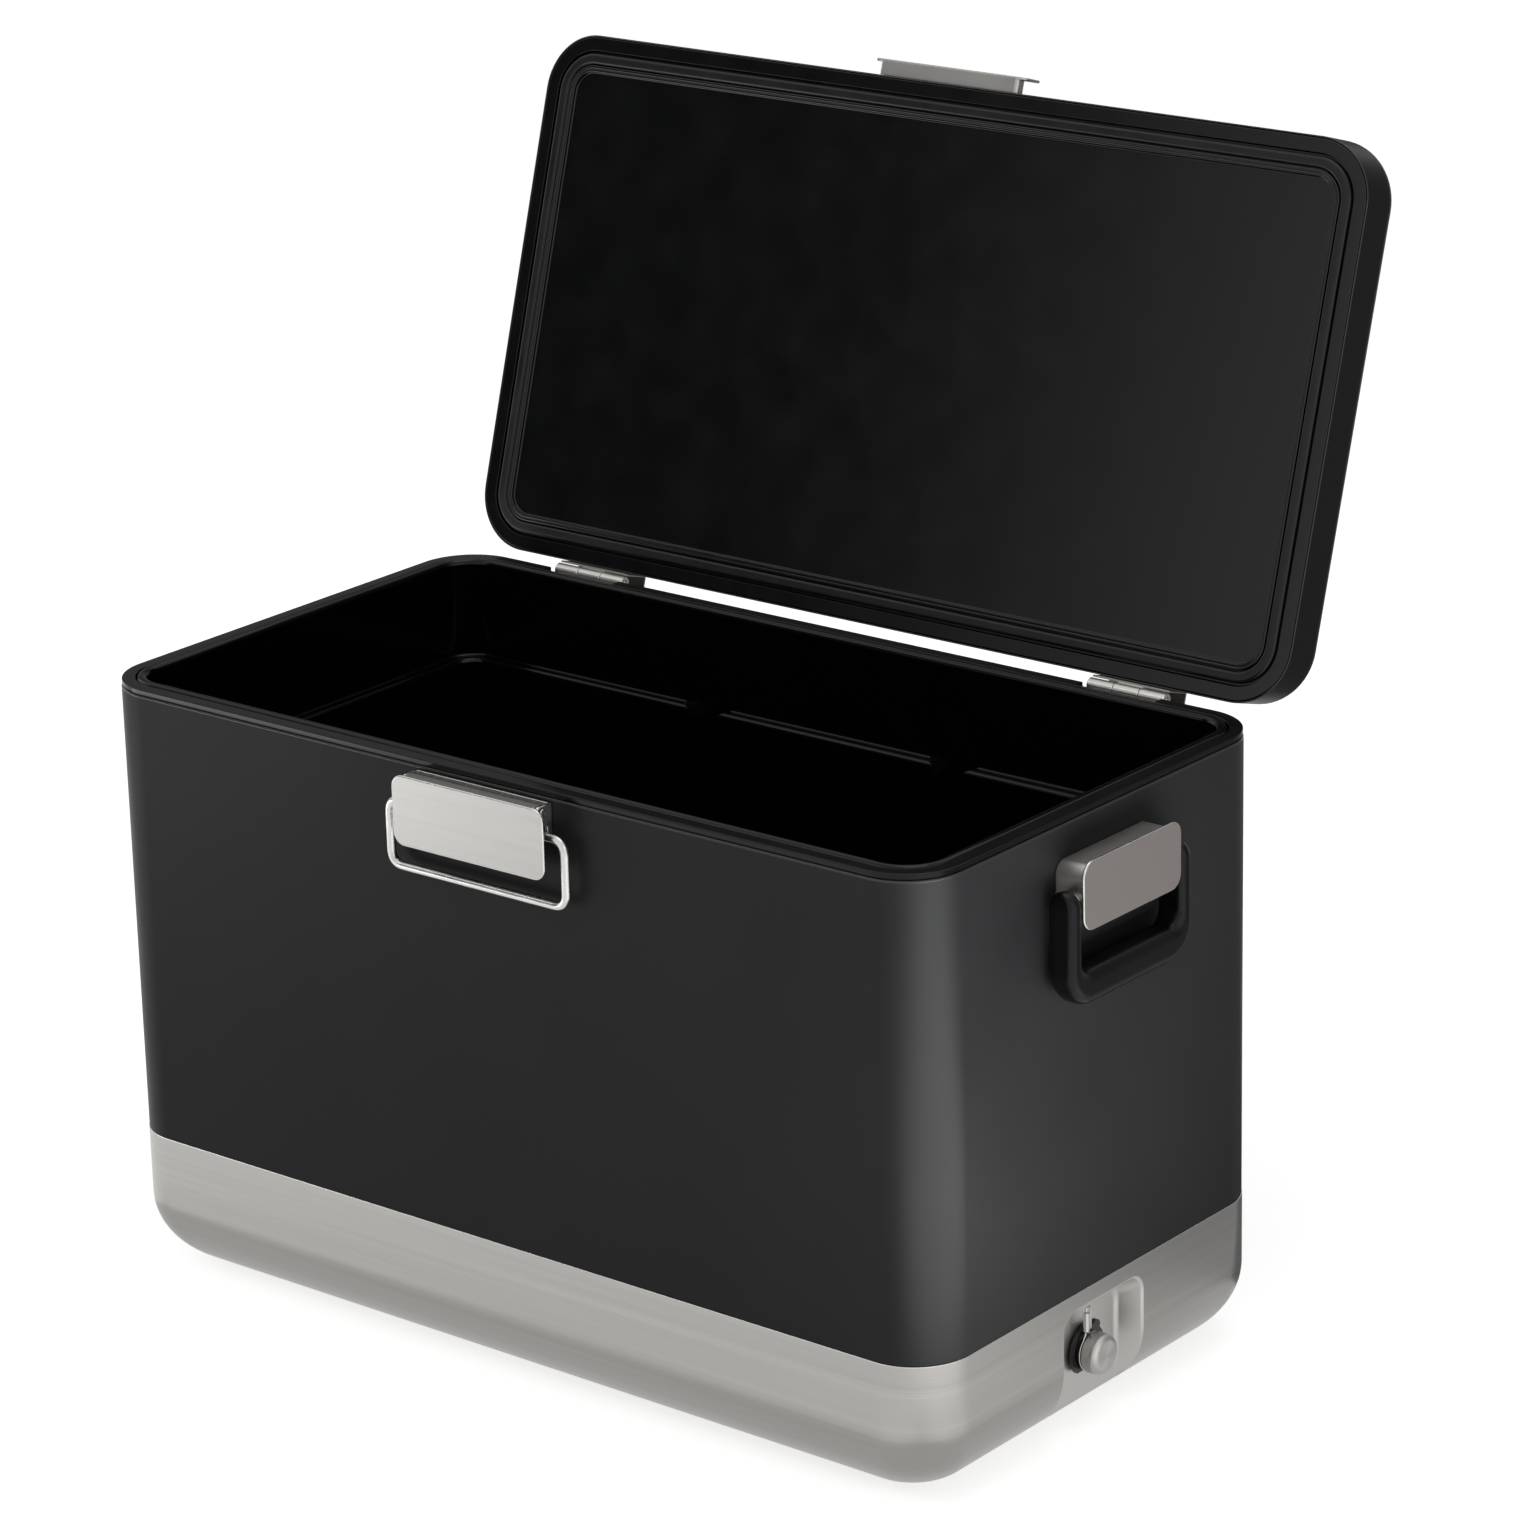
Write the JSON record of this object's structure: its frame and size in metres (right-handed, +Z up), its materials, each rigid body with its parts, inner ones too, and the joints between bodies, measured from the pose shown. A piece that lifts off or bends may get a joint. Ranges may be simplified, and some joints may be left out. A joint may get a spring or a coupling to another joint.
{
  "type": "cooler",
  "caption": "Insulated steel-cased cooler with a hinged lid, front draw latch, swing handles at both ends and a drain with a tethered screw cap.",
  "frame": {"origin": "centre of the flat bottom of the base pan, where the cooler stands", "axes": "+X along the length towards the end with the drain, -Y towards the latch, +Y towards the hinges, +Z up"},
  "size_m": [0.664, 0.4846, 0.7056],
  "materials": {
    "shell_paint": "satin",
    "belt_steel": "satin",
    "plate_steel": "satin",
    "cap_steel": "satin",
    "hinge_steel": "satin",
    "bright_steel": "polished",
    "tub_plastic": "gloss",
    "lid_plastic": "gloss",
    "rim_plastic": "satin",
    "grip_rubber": "satin",
    "seal_rubber": "matte",
    "insulation": "matte"
  },
  "bodies": {
    "body": {"outer_shell": "shell_paint", "base_pan": "belt_steel", "liner": "tub_plastic", "rim_collar": "rim_plastic", "body_foam": "insulation", "drain_spout": "rim_plastic", "drain_washer": "seal_rubber", "drain_bezel": "rim_plastic", "latch_bracket": "bright_steel", "latch_pin": "bright_steel", "hinge_left_body_leaf": "hinge_steel", "hinge_left_pin": "bright_steel", "handle_left_bracket": "cap_steel", "handle_left_cover": "plate_steel", "handle_left_front_pin": "bright_steel", "handle_left_rear_pin": "bright_steel", "hinge_right_body_leaf": "hinge_steel", "hinge_right_pin": "bright_steel", "handle_right_bracket": "cap_steel", "handle_right_cover": "plate_steel", "handle_right_front_pin": "bright_steel", "handle_right_rear_pin": "bright_steel"},
    "lid": {"lid_shell": "shell_paint", "lid_liner": "lid_plastic", "lid_gasket": "seal_rubber", "lid_foam": "insulation", "lid_keeper": "plate_steel", "hinge_left_lid_leaf": "hinge_steel", "hinge_right_lid_leaf": "hinge_steel"},
    "lever": {"latch_lever": "plate_steel"},
    "bail": {"latch_bail": "bright_steel"},
    "grip_left": {"handle_left_grip": "grip_rubber"},
    "grip_right": {"handle_right_grip": "grip_rubber"},
    "cap": {"drain_cap": "cap_steel", "drain_cap_seal": "seal_rubber", "tether_neck_loop": "bright_steel", "tether_ferrule": "bright_steel", "tether_anchor_loop": "bright_steel"}
  },
  "joints": [
    {"name": "lid_hinge", "type": "hinge", "parent": "body", "child": "lid", "pos_m": [0, 0.1715, 0.3758], "axis": [-1, 0, 0], "range_deg": [-106.74, 0]},
    {"name": "latch_lever_pivot", "type": "hinge", "parent": "body", "child": "lever", "pos_m": [0, -0.1735, 0.3687], "axis": [1, 0, 0], "range_deg": [-100, 0]},
    {"name": "latch_bail_swing", "type": "hinge", "parent": "lever", "child": "bail", "pos_m": [0, -0.1735, 0.3549], "axis": [-1, 0, 0], "range_deg": [0, 184]},
    {"name": "handle_left_swing", "type": "hinge", "parent": "body", "child": "grip_left", "pos_m": [-0.3225, 0, 0.3333], "axis": [0, 1, 0], "range_deg": [0, 100]},
    {"name": "handle_right_swing", "type": "hinge", "parent": "body", "child": "grip_right", "pos_m": [0.3225, 0, 0.3333], "axis": [0, -1, 0], "range_deg": [0, 100]},
    {"name": "drain_cap_pull", "type": "slide", "parent": "body", "child": "cap", "axis": [1, 0, 0], "range_m": [0, 0.02]}
  ]
}
